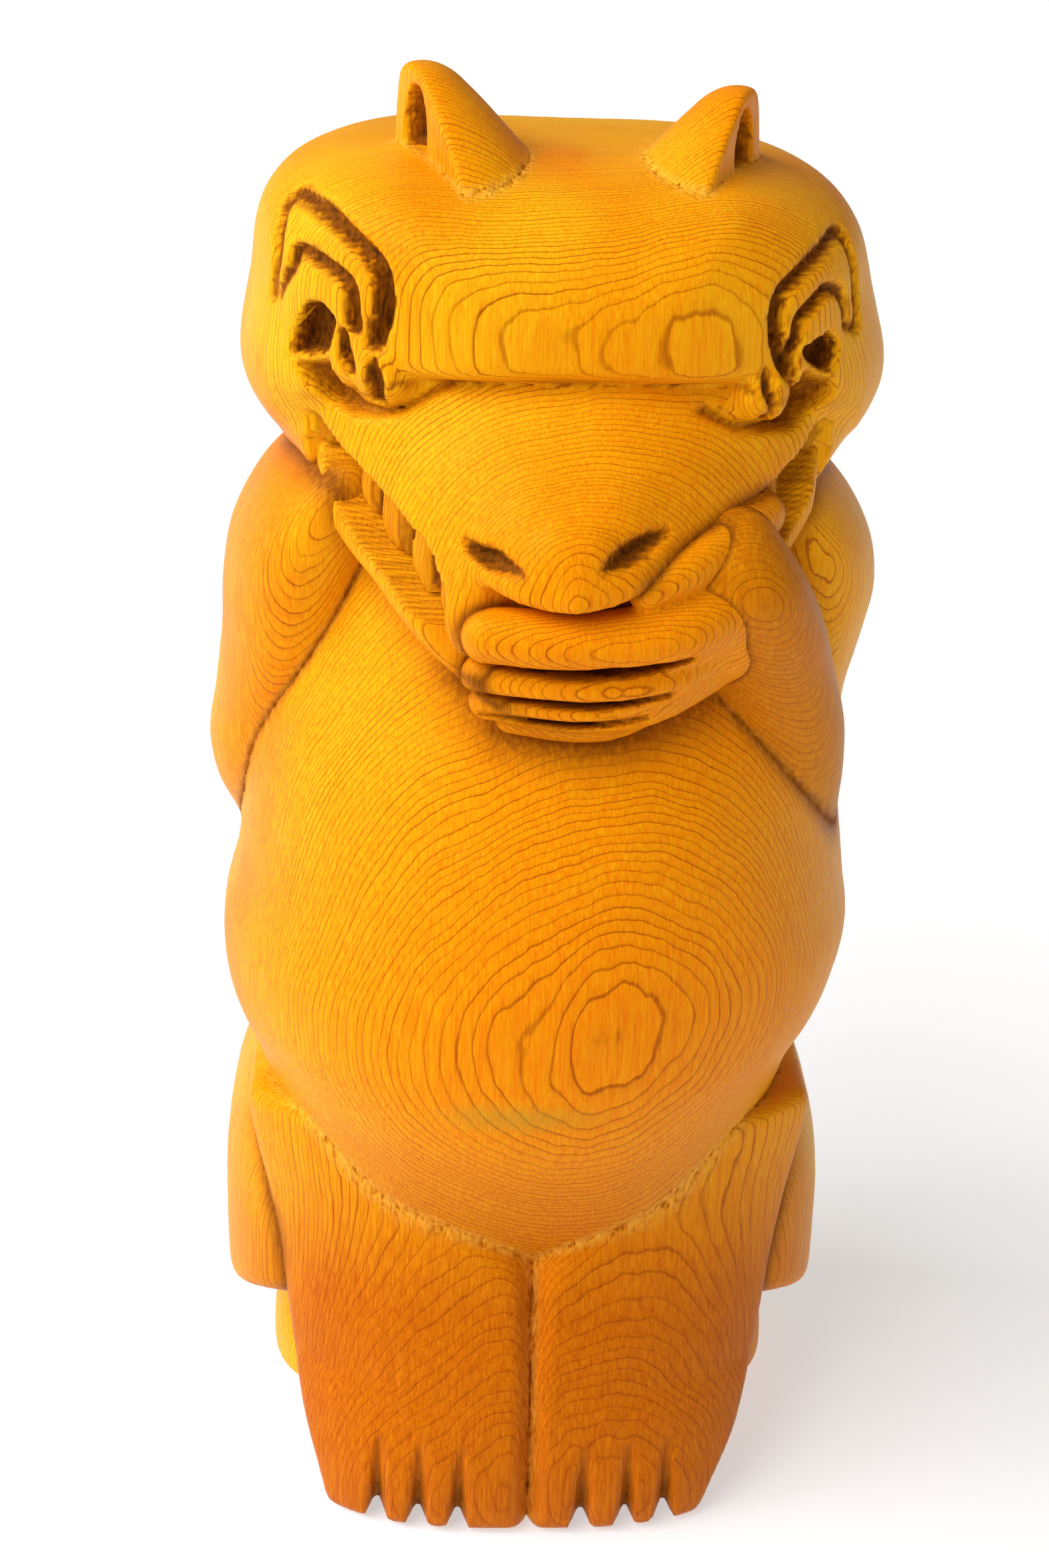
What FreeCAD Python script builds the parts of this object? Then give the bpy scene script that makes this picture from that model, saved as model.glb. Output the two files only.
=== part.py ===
import FreeCAD, Part
import os

import Sketcher
from FreeCAD import Placement, Rotation, Vector

# A squatting bear, 200 mm tall, cut from one block of wood. It covers its mouth with its left paw
# and holds its right paw behind its back. The block's carved forms are the solids of this file.
# Frame: origin in the middle of the base, +Z up, the bear faces -Y, and its own left is +X.
# All sizes are in millimetres and all angles in degrees.

LEFT, RIGHT = 1, -1
SIDE_NAMES = {LEFT: "left", RIGHT: "right"}

# A lofted form is a row of ellipses along one axis. Each station is
# (place along the axis, centre u, centre v, half width u, half width v),
# where u and v are x and y for axis Z, x and z for axis Y, and y and z for axis X. The longer half
# width has the same direction at every station of a form, so that the loft doesn't twist.
LOFTS = {
    "torso": ("Z", {
        "seat": (0, 0, 7, 30.5, 30),
        "base": (14, 0, 7.5, 32.8, 32.2),
        "hips": (32, 0, 6, 35.5, 34.5),
        "loins": (46, 0, 2, 38.5, 37.5),
        "waist": (60, 0, -1, 41.8, 39.8),
        "belly": (82, 0, -3.5, 44, 41),
        "ribs": (102, 0, -3, 42.6, 39.4),
        "chest": (122, 0, -0.5, 38.6, 36.4),
        "collar": (140, 0, 1.5, 34, 32.4),
        "neck": (154, 0, 3, 29.2, 28.6),
    }),
    "skull": ("Z", {
        "nape": (143, 0, 5, 30, 18),
        "cheeks": (152, 0, 2.5, 38.6, 27),
        "lids": (160, 0, 2, 41.2, 30.5),
        "temples": (169, 0, 0.5, 42.6, 32.5),
        "brow": (179, 0, -0.5, 41, 32.5),
        "crown_edge": (186, 0, 2.5, 35.5, 25),
        "crown": (190, 0, 5, 28, 17),
        "top": (191.8, 0, 6.5, 20, 11),
    }),
    "muzzle": ("Y", {
        "root": (-8, 0, 153, 35.5, 14),
        "middle": (-20, 0.5, 150.5, 30, 14.8),
        "bridge": (-32, 1, 148.6, 20.5, 10.8),
        "nose_back": (-40, 1.5, 146.8, 14.2, 7.6),
        "nose": (-43.6, 2, 146, 9.5, 5),
    }),
    "jaw": ("Y", {
        "hinge": (-4, 0, 143.5, 35.8, 8.5),
        "jowl": (-18, 0.5, 140, 30, 8.5),
        "lip": (-31, 1, 134.8, 19.5, 8),
        "chin": (-39, 1.5, 131.5, 11, 5.8),
    }),
    "left_upper_arm": ("Z", {
        "shoulder_top": (147, 28, 2, 7, 13),
        "shoulder": (142, 32.5, 1, 10.8, 20),
        "deltoid": (132, 34.3, 0.5, 11, 22.5),
        "biceps": (118, 33.6, 2, 9.6, 20),
        "elbow": (104, 33.4, 2, 8.6, 17),
        "elbow_tip": (95, 34, 1, 5, 11),
    }),
    "right_upper_arm": ("Z", {
        "shoulder_top": (149, -28, 1, 7.5, 15),
        "shoulder": (141, -30.5, 0, 11.5, 22.5),
        "deltoid": (131, -32.3, 0, 12.2, 24),
        "biceps": (118, -33.6, 2, 11.2, 20.5),
        "elbow": (105, -35.4, 4, 10, 16),
        "elbow_low": (97, -37, 5, 7, 12),
        "elbow_tip": (92, -38, 5, 3.2, 6),
    }),
    "left_forearm": ("Z", {
        "elbow_tip": (92.5, 35.5, -8.5, 2.6, 4.2),
        "elbow": (98, 34.8, -11.5, 5.8, 8.6),
        "middle": (112, 32.4, -17.2, 8.4, 10.8),
        "upper": (128, 28, -23.4, 10.2, 11.4),
        "wrist": (140, 24, -26.4, 9.8, 11),
        "wrist_top": (147.5, 21.6, -27.4, 5.6, 7),
    }),
    "left_palm": ("X", {
        "heel": (27, -27, 136, 6.2, 6.6),
        "knuckles": (19, -33.5, 135, 7.6, 9.6),
        "middle": (8, -34.5, 133, 7, 8.6),
        "tips": (-8, -33, 132, 4.6, 6),
    }),
    "right_forearm": ("X", {
        "elbow": (-41, 9, 98.5, 3.8, 4.2),
        "bend": (-36, 16, 98.5, 7.8, 8),
        "middle": (-25, 30.5, 99.5, 8.1, 8.4),
        "wrist": (-10, 37, 102, 6.6, 8.2),
        "knuckles": (2, 38.6, 103.6, 5.9, 8.8),
        "paw": (11, 37.6, 104.6, 5.2, 8),
        "paw_end": (15, 35.5, 105, 2.8, 4.6),
    }),
    "left_leg": ("Z", {
        "sole": (0, 16.6, -12, 14.8, 30),
        "foot": (8, 17.8, -13, 17.2, 31),
        "ankle": (20, 18.4, -15, 18, 25.5),
        "shin": (34, 19, -15.2, 18.4, 23),
        "knee": (48, 21.5, -16, 16.6, 20),
        "knee_top": (58, 27, -15, 10.5, 15),
    }),
}

# Each finger of the left paw wraps round the muzzle: its place up the chin and how far it stands out.
FINGERS = {
    "index": (137.8, -40.2, 4.2, 3.9),
    "middle": (131.4, -39.6, 3.8, 3.4),
    "ring": (127, -37.6, 3.4, 2.9),
    "little": (123.6, -34.8, 3.2, 2.7),
}

DIMENSIONS = {
    "figure_height": 200,
    "block_width": 91,
    "block_depth": 89,
    # thighs and rump, one ellipsoid a side
    "haunch_centre_x": 26.4,
    "haunch_centre_y": 13,
    "haunch_centre_z": 31.5,
    "haunch_half_width": 19,
    "haunch_half_depth": 31.2,
    "haunch_half_height": 26.5,
    # ears: half a pointed cone each, hollowed on the flat outer face; the pair sits off the middle
    "ear_centre_x": 18.5,
    "ear_shift_x": 2.5,
    "ear_centre_y": -6.5,
    "ear_foot_z": 182,
    "ear_half_width": 10.5,
    "ear_half_depth": 9,
    "ear_height": 18,
    "ear_turn": 16,
    "ear_hollow_width": 6,
    "ear_hollow_height": 8,
    "ear_hollow_deep": 2.5,
    # eyes: a slanted hollow under each end of the brow
    "eye_centre_x": 28.5,
    "eye_centre_y": -22,
    "eye_centre_z": 165.5,
    "eye_half_length": 12.5,
    "eye_half_height": 4.6,
    "eye_half_deep": 4.2,
    "eye_turn": 38,
    # nostrils
    "nostril_centre_x": 9,
    "nostril_centre_y": -42,
    "nostril_centre_z": 148.4,
    "nostril_half_length": 3.2,
    "nostril_half_height": 1.3,
    "nostril_half_deep": 2.6,
    # fingers and thumb of the left paw
    "finger_root_x": 18,
    "finger_middle_x": 4,
    "finger_tip_x": -9,
    "finger_end_x": -12,
    "finger_bow": 1.2,
    "thumb_root_x": 24,
    "thumb_root_y": -31,
    "thumb_root_z": 146,
    "thumb_root_radius": 5,
    "thumb_length": 17.5,
    "thumb_tip_radius": 3.2,
    "thumb_turn": 38,
    # toes: V grooves in the front of each foot
    "toe_groove_top": 14,
    "toe_groove_width": 1.8,
    "toe_groove_deep": 3,
    "toe_first_x": 8.2,
    "toe_pitch": 6,
    "toe_front_y": -44,
    "toe_step_back": 0.9,
    # the mouth is a gap between muzzle and jaw
    "mouth_gap": 1.2,
}
TOE_GROOVES = 3

PLANES = {"X": "YZ_Plane", "Y": "XZ_Plane", "Z": "XY_Plane"}
# +Y stations lie behind the XZ plane's own normal, which points to -Y.
NORMAL_SIGN = {"X": 1, "Y": -1, "Z": 1}
CENTRE, ORIGIN, START = 3, -1, 1
SMALLEST_VOLUME = 100
MAJOR_AXIS, MINOR_AXIS = 1, 2


def cells():
    """Every driving dimension by its alias: the plain ones, each loft station's five and each finger's four."""
    found = dict(DIMENSIONS)
    for form, (_, stations) in LOFTS.items():
        for station, values in stations.items():
            for word, value in zip(("place", "centre_u", "centre_v", "half_u", "half_v"), values):
                found[f"{form}_{station}_{word}"] = value
    for finger, values in FINGERS.items():
        for word, value in zip(("up", "out", "half_u", "half_v"), values):
            found[f"finger_{finger}_{word}"] = value
    return found


def make_sheet(doc):
    sheet = doc.addObject("Spreadsheet::Sheet", "Dimensions")
    for row, (alias, value) in enumerate(cells().items(), start=1):
        sheet.set(f"A{row}", alias)
        sheet.set(f"B{row}", str(value))
        sheet.setAlias(f"B{row}", alias)
    doc.recompute()
    return sheet


def bind(obj, **expressions):
    """Sets an object's properties from sheet expressions, where a name such as half_width is a cell."""
    for prop, expression in expressions.items():
        obj.setExpression(prop.replace("__", "."), expression)


def cell(name):
    return f"Dimensions.{name}"


def origin_plane(body, role):
    return next(f for f in body.Origin.OriginFeatures if f.Role == role)


def ellipse_sketch(body, name, axis, place, centre_u, centre_v, half_u, half_v):
    """One station of a loft: an ellipse on its own offset of an origin plane. The sizes are expressions."""
    sketch = body.newObject("Sketcher::SketchObject", name)
    sketch.AttachmentSupport = (origin_plane(body, PLANES[axis]), [""])
    sketch.MapMode = "FlatFace"
    sign = "" if NORMAL_SIGN[axis] > 0 else "-1 * "
    bind(
        sketch,
        AttachmentOffset__Base__x=centre_u,
        AttachmentOffset__Base__y=centre_v,
        AttachmentOffset__Base__z=sign + place,
    )
    wide = sketch.evalExpression(half_u) >= sketch.evalExpression(half_v)
    # Any ellipse that is longer along its major axis will do here: the constraints set its size.
    ends = (Vector(2, 0, 0), Vector(0, 1, 0)) if wide else (Vector(0, 2, 0), Vector(-1, 0, 0))
    ellipse = sketch.addGeometry(Part.Ellipse(*ends, Vector(0, 0, 0)))
    sketch.exposeInternalGeometry(ellipse)
    sketch.addConstraint(Sketcher.Constraint("Coincident", ellipse, CENTRE, ORIGIN, START))
    level = "Horizontal" if wide else "Vertical"
    sketch.addConstraint(Sketcher.Constraint(level, MAJOR_AXIS))
    lengths = ((MAJOR_AXIS, half_u if wide else half_v), (MINOR_AXIS, half_v if wide else half_u))
    for line, half in lengths:
        index = sketch.addConstraint(Sketcher.Constraint("Distance", line, 2 * sketch.evalExpression(half)))
        sketch.setExpression(f"Constraints[{index}]", f"2 * ({half})")
    return sketch


def add_loft(body, name, axis, stations):
    """A loft through ellipses. stations maps each station's name to its five expressions."""
    sketches = [ellipse_sketch(body, f"{name}_{station}", axis, *sizes) for station, sizes in stations.items()]
    loft = body.newObject("PartDesign::AdditiveLoft", f"{name}_loft")
    loft.Profile = sketches[0]
    loft.Sections = sketches[1:]
    return loft


def sheet_loft(body, form):
    """A loft whose stations are the rows of LOFTS."""
    axis, stations = LOFTS[form]
    words = ("place", "centre_u", "centre_v", "half_u", "half_v")
    return add_loft(body, form, axis, {s: [cell(f"{form}_{s}_{w}") for w in words] for s in stations})


def lofted_body(doc, form):
    body = doc.addObject("PartDesign::Body", f"{form}_form")
    sheet_loft(body, form)
    return body


def mirrored(doc, source, name):
    """The same form on the other side of the figure."""
    copy = doc.addObject("Part::Mirroring", name)
    copy.Source = source
    copy.Normal = Vector(1, 0, 0)
    return copy


def ellipsoid(doc, name, centre, halves, rotation=None):
    """centre and halves are expressions along x, y and z."""
    shape = doc.addObject("Part::Ellipsoid", name)
    bind(shape, Radius1=halves[2], Radius2=halves[0], Radius3=halves[1])
    bind(shape, Placement__Base__x=centre[0], Placement__Base__y=centre[1], Placement__Base__z=centre[2])
    if rotation:
        axis, angle = rotation
        shape.Placement.Rotation = Rotation(axis, 1)
        bind(shape, Placement__Rotation__Angle=angle)
    return shape


def fused(doc, name, shapes):
    fuse = doc.addObject("Part::MultiFuse", name)
    fuse.Shapes = shapes
    # Joining split faces again would spoil the later cuts.
    fuse.Refine = False
    return fuse


def less(doc, name, base, *tools):
    """base with all the tools cut away at once."""
    cut = doc.addObject("Part::Cut", name)
    cut.Base = base
    cut.Refine = False
    cut.Tool = fused(doc, f"{name}_tools", list(tools)) if len(tools) > 1 else tools[0]
    return cut


def make_torso(doc):
    return lofted_body(doc, "torso")


def make_haunches(doc):
    centre = [cell(f"haunch_centre_{w}") for w in "xyz"]
    halves = [cell(f"haunch_half_{w}") for w in ("width", "depth", "height")]
    left = ellipsoid(doc, "left_haunch_form", centre, halves)
    return {LEFT: left, RIGHT: mirrored(doc, left, "right_haunch_form")}


def make_toe_grooves(doc):
    """Three V-shaped prisms that part the front of the left foot into four toes."""
    body = doc.addObject("PartDesign::Body", "toe_grooves")
    sketch = body.newObject("Sketcher::SketchObject", "toe_groove_outlines")
    sketch.AttachmentSupport = (origin_plane(body, "XY_Plane"), [""])
    sketch.MapMode = "FlatFace"
    front = 2.0
    for index in range(TOE_GROOVES):
        # Three corners: two in front of the foot and one at the bottom of the cut.
        corners = [Vector(index * 9 + dx, dy, 0) for dx, dy in ((0, -2), (2, -2), (1, 3))]
        lines = [
            sketch.addGeometry(Part.LineSegment(corners[k], corners[(k + 1) % 3]))
            for k in range(3)
        ]
        for k in range(3):
            sketch.addConstraint(Sketcher.Constraint("Coincident", lines[k], 2, lines[(k + 1) % 3], 1))
        sketch.addConstraint(Sketcher.Constraint("Horizontal", lines[0]))
        groove_x = f"{cell('toe_first_x')} + {index} * {cell('toe_pitch')}"
        half = f"{cell('toe_groove_width')} / 2 * (1 + {front} / {cell('toe_groove_deep')})"
        face_y = f"{cell('toe_front_y')} + {index} * {cell('toe_step_back')}"
        sizes = (
            ("DistanceX", (ORIGIN, START, lines[0], 1), f"{groove_x} - {half}"),
            ("DistanceX", (ORIGIN, START, lines[0], 2), f"{groove_x} + {half}"),
            ("DistanceY", (lines[0], 1, ORIGIN, START), f"{front} - ({face_y})"),
            ("DistanceX", (ORIGIN, START, lines[2], 1), groove_x),
            ("DistanceY", (lines[2], 1, ORIGIN, START), f"-1 * ({face_y} + {cell('toe_groove_deep')})"),
        )
        for kind, ends, expression in sizes:
            value = sketch.evalExpression(expression)
            number = sketch.addConstraint(Sketcher.Constraint(kind, *ends, value))
            sketch.setExpression(f"Constraints[{number}]", expression)
    pad = body.newObject("PartDesign::Pad", "toe_groove_pad")
    pad.Profile = sketch
    bind(pad, Length=cell("toe_groove_top"))
    return body


def make_legs(doc):
    column = lofted_body(doc, "left_leg")
    left = less(doc, "left_leg_form_toes", column, make_toe_grooves(doc))
    return {LEFT: left, RIGHT: mirrored(doc, left, "right_leg_form")}


def make_ear(doc, side):
    """Half a pointed cone: a loft up from the crown, cut flat on its outer side and hollowed there."""
    name = f"{SIDE_NAMES[side]}_ear"
    body = doc.addObject("PartDesign::Body", f"{name}_form")
    steps = {"foot": (0, 1), "half": (0.5, 0.78), "near_top": (0.85, 0.44), "tip": (1, 0.16)}
    stations = {
        step: (
            f"{cell('ear_foot_z')} + {up} * {cell('ear_height')}",
            f"{side} * {cell('ear_centre_x')} + {cell('ear_shift_x')}",
            cell("ear_centre_y"),
            f"{share} * {cell('ear_half_width')}",
            f"{share} * {cell('ear_half_depth')}",
        )
        for step, (up, share) in steps.items()
    }
    add_loft(body, name, "Z", stations)
    outside = doc.addObject("Part::Box", f"{name}_outer_side")
    half = cell("ear_half_width")
    bind(outside, Length=f"2 * {half}", Width=f"4 * {half}", Height=f"2 * {cell('ear_height')}")
    turn = Rotation(Vector(0, 0, 1), -side * DIMENSIONS["ear_turn"])
    centre_x = side * DIMENSIONS["ear_centre_x"] + DIMENSIONS["ear_shift_x"]
    centre = Vector(centre_x, DIMENSIONS["ear_centre_y"], DIMENSIONS["ear_foot_z"] - 5)
    flat_out = 2.5 if side > 0 else -2.5 - 2 * DIMENSIONS["ear_half_width"]
    corner = turn.multVec(Vector(flat_out, -2 * DIMENSIONS["ear_half_width"], 0))
    outside.Placement = Placement(centre + corner, turn)
    hollow = doc.addObject("Part::Ellipsoid", f"{name}_hollow")
    bind(
        hollow,
        Radius1=f"{cell('ear_hollow_height')} / 2",
        Radius2=cell("ear_hollow_deep"),
        Radius3=f"{cell('ear_hollow_width')} / 2",
    )
    spot = turn.multVec(Vector(side * 2.5, 0, 0))
    lift = 5 + 0.52 * DIMENSIONS["ear_height"]
    hollow.Placement = Placement(centre + spot + Vector(0, 0, lift), turn)
    return less(doc, f"{name}_cut", body, outside, hollow)


def make_eye_sockets(doc):
    centre = [cell(f"eye_centre_{w}") for w in "xyz"]
    halves = [cell(f"eye_half_{w}") for w in ("length", "deep", "height")]
    left = ellipsoid(doc, "left_eye_socket", centre, halves, (Vector(0, 0, 1), cell("eye_turn")))
    return [left, mirrored(doc, left, "right_eye_socket")]


def make_nostrils(doc):
    centre = [cell(f"nostril_centre_{w}") for w in "xyz"]
    halves = [cell(f"nostril_half_{w}") for w in ("length", "deep", "height")]
    left = ellipsoid(doc, "left_nostril", centre, halves)
    return [left, mirrored(doc, left, "right_nostril")]


def make_head(doc):
    skull = lofted_body(doc, "skull")
    muzzle = lofted_body(doc, "muzzle")
    both = fused(doc, "head_forms", [skull, muzzle])
    return less(doc, "head_form", both, *make_eye_sockets(doc), *make_nostrils(doc))


def make_mouth(doc):
    """The muzzle, thickened by the mouth's gap, which parts the jaw from it."""
    body = doc.addObject("PartDesign::Body", "mouth_form")
    words = ("place", "centre_u", "centre_v", "half_u", "half_v")
    stations = {}
    for station in LOFTS["muzzle"][1]:
        sizes = {w: cell(f"muzzle_{station}_{w}") for w in words}
        sizes["centre_v"] += f" - {cell('mouth_gap')}"
        stations[station] = list(sizes.values())
    add_loft(body, "mouth", "Y", stations)
    return body


def make_left_paw(doc):
    """A palm, four fingers round the muzzle and a thumb up its side."""
    forms = [lofted_body(doc, "left_palm")]
    for finger in FINGERS:
        up, out, half_u, half_v = (cell(f"finger_{finger}_{w}") for w in ("up", "out", "half_u", "half_v"))
        body = doc.addObject("PartDesign::Body", f"{finger}_finger")
        shares = {"root": (1, 2.4), "middle": (1, 0), "tip": (0.85, 1.8), "end": (0.45, 3)}
        stations = {
            step: (
                cell(f"finger_{step}_x"),
                f"{out} + {back} * {cell('finger_bow')}",
                up,
                f"{share} * {half_u}",
                f"{share} * {half_v}",
            )
            for step, (share, back) in shares.items()
        }
        add_loft(body, f"{finger}_finger", "X", stations)
        forms.append(body)
    thumb = doc.addObject("Part::Cone", "thumb")
    bind(thumb, Radius1=cell("thumb_root_radius"), Radius2=cell("thumb_tip_radius"), Height=cell("thumb_length"))
    base = Vector(*(DIMENSIONS[f"thumb_root_{w}"] for w in "xyz"))
    aim = Vector(-0.8, -0.55, -0.32)
    thumb.Placement = Placement(base, Rotation(Vector(0, 0, 1), aim))
    tip = doc.addObject("Part::Sphere", "thumb_end")
    bind(tip, Radius=cell("thumb_tip_radius"))
    tip.Placement.Base = base + aim.normalize() * DIMENSIONS["thumb_length"]
    return fused(doc, "left_paw_form", [*forms, thumb, tip])


def keep_as(doc, node, shape):
    """Labels a finished form as a node."""
    shape.Label = node
    return shape


def check(doc):
    """Stops if a feature failed without raising."""
    bad = [o.Name for o in doc.Objects if {"Invalid", "Error"} & set(o.State)]
    if bad:
        raise RuntimeError(f"these features failed: {bad}")


def main():
    doc = FreeCAD.newDocument("bear_figure")
    make_sheet(doc)
    torso = make_torso(doc)
    legs = make_legs(doc)
    haunches = make_haunches(doc)
    arms = {side: lofted_body(doc, f"{SIDE_NAMES[side]}_upper_arm") for side in (LEFT, RIGHT)}
    forearms = {side: lofted_body(doc, f"{SIDE_NAMES[side]}_forearm") for side in (LEFT, RIGHT)}
    head = make_head(doc)
    mouth = make_mouth(doc)
    jaw = lofted_body(doc, "jaw")
    paw = make_left_paw(doc)

    # Each form gives way to the deeper ones it touches, so that all meet face to face.
    gives_way = {
        "right_forearm": (forearms[RIGHT], [torso, arms[RIGHT]]),
        "left_forearm": (forearms[LEFT], [torso, head, jaw, arms[LEFT]]),
        "left_paw": (paw, [head, jaw, torso, forearms[LEFT]]),
        "lower_jaw": (jaw, [mouth, head, torso, *arms.values()]),
        "head": (head, [torso]),
    }
    for side, name in SIDE_NAMES.items():
        gives_way[f"{name}_upper_arm"] = (arms[side], [torso, head])
        gives_way[f"{name}_leg"] = (legs[side], [torso])
        gives_way[f"{name}_haunch"] = (haunches[side], [torso, legs[side]])
        gives_way[f"{name}_ear"] = (make_ear(doc, side), [head])
    nodes = {"torso": torso}
    for node, (form, deeper) in gives_way.items():
        nodes[node] = less(doc, f"{node}_fitted", form, *deeper)
        doc.recompute()
    doc.recompute()
    check(doc)

    os.makedirs("parts", exist_ok=True)
    for node, shape in nodes.items():
        keep_as(doc, node, shape)
        solid = shape.Shape
        if solid.isNull() or not solid.isValid() or solid.Volume < SMALLEST_VOLUME:
            raise RuntimeError(f"{node} has no valid shape")
        box = solid.optimalBoundingBox(False, False)
        print(
            f"{node:16s} {len(solid.Solids)} solid(s) {solid.Volume / 1000:8.2f} cm3  "
            f"x {box.XMin:6.1f} {box.XMax:6.1f}  y {box.YMin:6.1f} {box.YMax:6.1f}  "
            f"z {box.ZMin:6.1f} {box.ZMax:6.1f}"
        )
        solid.exportStep(f"parts/{node}.step")


main()
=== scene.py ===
import math

import bpy
import numpy as np
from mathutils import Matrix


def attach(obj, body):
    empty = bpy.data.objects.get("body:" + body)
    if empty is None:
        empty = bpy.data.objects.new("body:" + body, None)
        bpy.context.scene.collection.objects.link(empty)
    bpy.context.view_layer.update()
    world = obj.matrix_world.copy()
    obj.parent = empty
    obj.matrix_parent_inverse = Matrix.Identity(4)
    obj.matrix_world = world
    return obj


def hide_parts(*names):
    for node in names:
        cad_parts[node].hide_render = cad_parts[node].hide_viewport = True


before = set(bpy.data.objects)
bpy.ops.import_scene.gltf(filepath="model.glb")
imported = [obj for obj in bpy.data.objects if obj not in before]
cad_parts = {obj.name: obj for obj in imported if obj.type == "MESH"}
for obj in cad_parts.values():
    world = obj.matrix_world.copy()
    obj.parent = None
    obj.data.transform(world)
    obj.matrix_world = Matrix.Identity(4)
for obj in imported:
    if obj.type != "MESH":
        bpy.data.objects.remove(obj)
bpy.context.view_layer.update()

import openvdb
from mathutils import Matrix, Vector

# A squatting bear carved from one block of wood. Each carved form is worked out as a distance
# field, in millimetres, in the row frame (+Z up, the bear faces -Y), then meshed where it is zero.
# L is the bear's own left, at +X, and R its right.
MM = 0.001
L, R = 1, -1
NAMES = {L: "left", R: "right"}

# The growth rings are cylinders round an upright pith line, well behind the figure.
PITH_X, PITH_Y = -12.0, 103.0
RING_SPACING = 0.43


# ---------------------------------------------------------------- fields

def smooth_path(at, points):
    """Values at `at` of a smooth curve through points, each (place, value, value, ...)."""
    table = np.array(points, float)
    places, values = table[:, 0], table[:, 1:]
    slopes = np.gradient(values, places, axis=0)
    dense = np.linspace(places[0], places[-1], 40 * len(places))
    left = np.clip(np.searchsorted(places, dense, side="right") - 1, 0, len(places) - 2)
    gap = (places[left + 1] - places[left])[:, None]
    t = (dense - places[left])[:, None] / gap
    curve = (
        (2 * t**3 - 3 * t**2 + 1) * values[left]
        + (t**3 - 2 * t**2 + t) * gap * slopes[left]
        + (3 * t**2 - 2 * t**3) * values[left + 1]
        + (t**3 - t**2) * gap * slopes[left + 1]
    )
    flat = np.asarray(at, float)
    return [np.interp(flat, dense, curve[:, k]).astype(np.float32) for k in range(values.shape[1])]


def soft_union(a, b, k):
    """The union of two fields, with a fillet about k wide where they meet."""
    h = np.clip(0.5 + 0.5 * (b - a) / k, 0, 1)
    return b + (a - b) * h - k * h * (1 - h)


def soft_common(a, b, k):
    """What two fields have in common, with the edge between them rounded off over about k."""
    return -soft_union(-a, -b, k)


def column(x, y, z, stations, power=2.4, half_x=None):
    """An upright form whose plan at each height is a rounded rectangle.

    stations: (z, middle x, half width, front y, back y)
    """
    middle, width, front, back = smooth_path(z, stations)
    half_x = width if half_x is None else half_x
    half_y = (back - front) / 2
    dx, dy = x - middle, y - (back + front) / 2
    ratio = (np.abs(dx / half_x) ** power + np.abs(dy / half_y) ** power) ** (1 / power)
    reach = (np.sqrt(dx * dx + dy * dy) + 0.01) / (ratio + 0.01 / np.minimum(half_x, half_y))
    return (ratio - 1) * reach


def egg(x, y, z, centre, radii, power=2.0, plan_power=None, below=None, front=None):
    """A rounded box, round or squarish by its power.

    below and front are other radii for those sides.
    """
    plan_power = plan_power or power
    dx, dy, dz = x - centre[0], y - centre[1], z - centre[2]
    ry = np.where(dy < 0, radii[1] if front is None else front, radii[1])
    rz = np.where(dz < 0, radii[2] if below is None else below, radii[2])
    plan = np.abs(dx / radii[0]) ** plan_power + np.abs(dy / ry) ** plan_power
    plan = plan ** (power / plan_power)
    ratio = (plan + np.abs(dz / rz) ** power) ** (1 / power)
    reach = (np.sqrt(dx * dx + dy * dy + dz * dz) + 0.01) / (ratio + 0.01 / min(radii))
    return (ratio - 1) * reach


def limb(x, y, z, nodes):
    """A smooth chain of round cones through nodes (x, y, z, radius)."""
    nearest = None
    count = 3 * len(nodes) - 2
    table = [(k, *node) for k, node in enumerate(nodes)]
    nodes = np.stack(smooth_path(np.linspace(0, len(nodes) - 1, count), table), axis=1)
    for (ax, ay, az, ra), (bx, by, bz, rb) in zip(nodes, nodes[1:]):
        ux, uy, uz = bx - ax, by - ay, bz - az
        px, py, pz = x - ax, y - ay, z - az
        t = np.clip((px * ux + py * uy + pz * uz) / (ux * ux + uy * uy + uz * uz), 0, 1)
        far = np.sqrt((px - t * ux) ** 2 + (py - t * uy) ** 2 + (pz - t * uz) ** 2)
        far = far - (ra + (rb - ra) * t)
        nearest = far if nearest is None else np.minimum(nearest, far)
    return nearest


# ---------------------------------------------------------------- forms

def torso_form(x, y, z):
    """Seat, belly, chest and neck."""
    return column(x, y, z, (
        (-3, 0.0, 31, -18, 35),
        (14, 0.0, 33, -22, 38),
        (30, 0.0, 35, -26, 39.5),
        (40, 0.0, 36, -31, 39.5),
        (48, -0.4, 35.5, -35.3, 39),
        (57, -1.0, 36.0, -39.6, 38.8),
        (63, -1.1, 38.0, -42, 38.6),
        (68, -1.2, 39.6, -43.4, 38.4),
        (74, -0.8, 42.4, -44.3, 38.2),
        (80, -0.3, 43.8, -44.6, 38),
        (86, 0.3, 44.0, -44.5, 37.8),
        (92, 0.7, 42.8, -44, 37.6),
        (100, 0.7, 41.8, -42.4, 37),
        (112, 0.5, 40.6, -39, 36.5),
        (124, 0.8, 38, -34.5, 36),
        (136, 0.8, 35, -29.5, 35),
        (150, 0.8, 31, -24, 33),
        (160, 0.8, 28, -20, 30),
    ), power=2.2)


def haunch_form(x, y, z, side):
    """Thigh and rump: an egg, cut off below by a face that rises towards the front."""
    middle = -28.2 if side == R else 27.2
    rump = egg(x, y, z, (middle, 7, 33), (16.8, 30, 27), power=2.8, below=34)
    underside = 15.5 + 0.45 * np.maximum(7 - y, 0) - z
    return soft_common(rump, underside, 2.5)


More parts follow.
